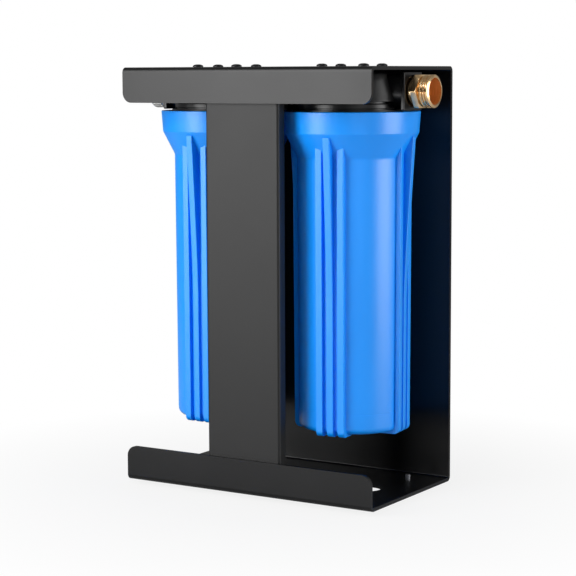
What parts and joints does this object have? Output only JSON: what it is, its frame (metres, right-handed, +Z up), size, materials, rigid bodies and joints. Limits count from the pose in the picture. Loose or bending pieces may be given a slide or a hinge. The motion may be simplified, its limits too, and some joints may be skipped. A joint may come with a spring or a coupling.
{
  "type": "rv water filter system",
  "caption": "Water filter system for a motor home: screw-on sumps hang from moulded heads in a bent steel stand, with a brass hose outlet and a swivelling hose inlet.",
  "frame": {"origin": "under the middle of the whole object, at the height that its feet stand on", "axes": "+X from the inlet to the outlet, +Y from the front post to the back plate, +Z up"},
  "size_m": [0.2784, 0.14, 0.3649],
  "materials": {
    "black_powder_coated_steel": "satin",
    "black_polypropylene": "satin",
    "blue_polypropylene": "semi-gloss",
    "brass": "polished",
    "nickel_plated_brass": "satin",
    "black_nitrile_rubber": "matte",
    "white_spun_polypropylene": "matte",
    "carbon_block": "matte",
    "white_polypropylene": "satin",
    "black_zinc_plated_steel": "satin",
    "bright_zinc_plated_steel": "satin",
    "black_rubber": "matte"
  },
  "bodies": {
    "stand_and_heads": {"stand_shell": "black_powder_coated_steel", "front_post": "black_powder_coated_steel", "left_head": "black_polypropylene", "right_head": "black_polypropylene", "head_nipple": "brass", "outlet_adapter": "brass", "inlet_adapter": "nickel_plated_brass", "left_head_screw_1": "black_zinc_plated_steel", "left_head_screw_2": "black_zinc_plated_steel", "left_head_screw_3": "black_zinc_plated_steel", "left_head_screw_4": "black_zinc_plated_steel", "right_head_screw_1": "black_zinc_plated_steel", "right_head_screw_2": "black_zinc_plated_steel", "right_head_screw_3": "black_zinc_plated_steel", "right_head_screw_4": "black_zinc_plated_steel", "front_left_foot": "black_rubber", "back_left_foot": "black_rubber", "front_right_foot": "black_rubber", "back_right_foot": "black_rubber", "front_left_foot_stud": "bright_zinc_plated_steel", "back_left_foot_stud": "bright_zinc_plated_steel", "front_right_foot_stud": "bright_zinc_plated_steel", "back_right_foot_stud": "bright_zinc_plated_steel"},
    "left_cartridge": {"sediment_cartridge": "white_spun_polypropylene"},
    "right_cartridge": {"carbon_block": "carbon_block", "carbon_bottom_cap": "white_polypropylene", "carbon_top_cap": "white_polypropylene", "carbon_bottom_gasket": "black_nitrile_rubber", "carbon_top_gasket": "black_nitrile_rubber"},
    "left_housing": {"left_sump": "blue_polypropylene", "left_sump_o_ring": "black_nitrile_rubber"},
    "right_housing": {"right_sump": "blue_polypropylene", "right_sump_o_ring": "black_nitrile_rubber"},
    "inlet_nut": {"inlet_swivel_nut": "nickel_plated_brass", "inlet_hose_washer": "black_nitrile_rubber"}
  },
  "joints": [
    {"name": "left_sump_drop", "type": "slide", "parent": "stand_and_heads", "child": "left_cartridge", "axis": [0, 0, -1], "range_m": [0, 0.024]},
    {"name": "left_sump_turn", "type": "hinge", "parent": "left_cartridge", "child": "left_housing", "pos_m": [-0.0645, 0.0023, 0.1943], "axis": [0, 0, -1], "range_deg": [0, 1440]},
    {"name": "right_sump_drop", "type": "slide", "parent": "stand_and_heads", "child": "right_cartridge", "axis": [0, 0, -1], "range_m": [0, 0.024]},
    {"name": "right_sump_turn", "type": "hinge", "parent": "right_cartridge", "child": "right_housing", "pos_m": [0.0609, 0.0023, 0.1943], "axis": [0, 0, -1], "range_deg": [0, 1440]},
    {"name": "inlet_nut_spin", "type": "hinge", "parent": "stand_and_heads", "child": "inlet_nut", "pos_m": [-0.1295, 0.0023, 0.3418], "axis": [-1, 0, 0], "continuous": true}
  ],
  "couplings": [
    {"joint": "left_sump_drop", "follows": "left_sump_turn", "m_per_rad": 0.00095493},
    {"joint": "right_sump_drop", "follows": "right_sump_turn", "m_per_rad": 0.00095493}
  ]
}
